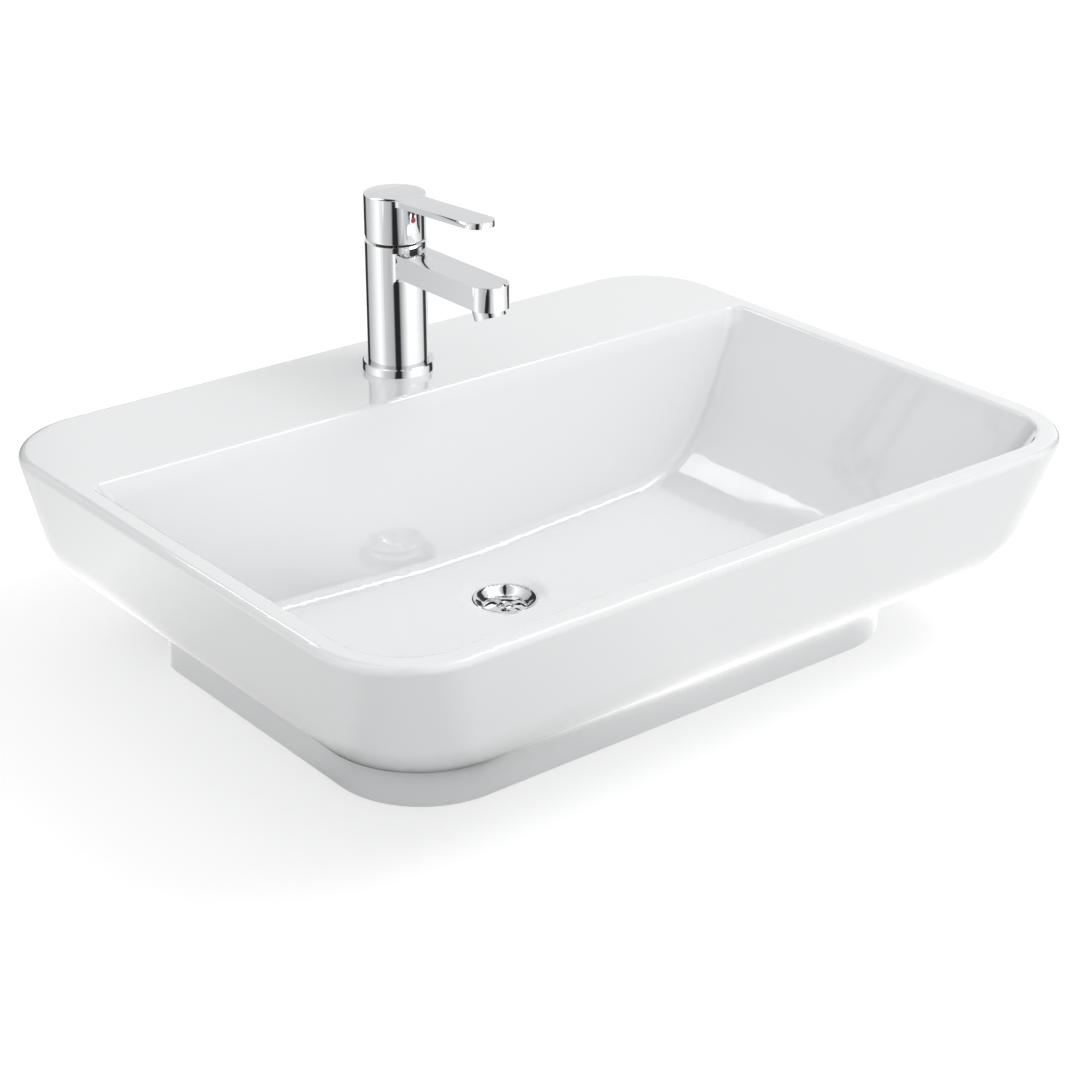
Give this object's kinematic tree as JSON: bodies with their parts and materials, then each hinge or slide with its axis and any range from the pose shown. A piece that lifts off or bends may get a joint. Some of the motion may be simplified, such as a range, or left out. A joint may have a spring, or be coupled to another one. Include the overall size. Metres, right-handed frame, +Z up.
{
  "type": "wall-hung basin",
  "caption": "Wall-hung rectangular ceramic basin with rounded corners, a tap ledge, a single-lever mixer tap and a free-flow grid waste.",
  "frame": {"origin": "on the plane of the wall, midway between the two wall fixing holes", "axes": "+X to the right of someone standing at the basin, +Y towards the wall, +Z up"},
  "size_m": [0.5972, 0.4616, 0.3365],
  "materials": {
    "glazed_china": "glossy white glaze",
    "chromed_brass": "polished chrome",
    "black_rubber": "matte",
    "white_plastic": "matte",
    "grey_plastic": "matte",
    "disc_ceramic": "ground and lapped",
    "plain_steel": "satin",
    "plain_brass": "machined",
    "red_plastic": "glossy"
  },
  "bodies": {
    "fixture": {"basin": "glazed_china", "base_ring": "chromed_brass", "base_seal": "black_rubber", "tap_body": "chromed_brass", "aerator_housing": "chromed_brass", "aerator_core": "white_plastic", "aerator_washer": "black_rubber", "cartridge_base": "grey_plastic", "port_seals": "black_rubber", "cartridge_housing": "grey_plastic", "fixed_disc": "disc_ceramic", "cartridge_nut": "plain_brass", "fixing_stud": "plain_steel", "fixing_rubber": "black_rubber", "fixing_plate": "plain_steel", "fixing_nut": "plain_brass", "waste_grid": "chromed_brass", "waste_screw": "chromed_brass", "waste_top_seal": "black_rubber", "waste_bottom_seal": "black_rubber", "waste_body": "chromed_brass"},
    "swivel": {"rotor": "white_plastic", "lever_pin": "plain_steel"},
    "lever": {"spindle": "plain_steel", "handle": "chromed_brass", "grub_screw": "plain_steel", "indicator_plug": "red_plastic"},
    "disc": {"moving_disc": "disc_ceramic", "disc_carrier": "white_plastic"}
  },
  "joints": [
    {"name": "temperature_turn", "type": "hinge", "parent": "fixture", "child": "swivel", "pos_m": [0, -0.063, 0.1605], "axis": [0, 0, 1], "range_deg": [-45, 45]},
    {"name": "flow_lift", "type": "hinge", "parent": "swivel", "child": "lever", "pos_m": [0, -0.063, 0.1605], "axis": [-1, 0, 0], "range_deg": [0, 20]},
    {"name": "disc_slide", "type": "slide", "parent": "swivel", "child": "disc", "axis": [0, -1, 0], "range_m": [0, 0.0037]}
  ],
  "couplings": [
    {"joint": "disc_slide", "follows": "flow_lift", "m_per_rad": 0.0103}
  ]
}
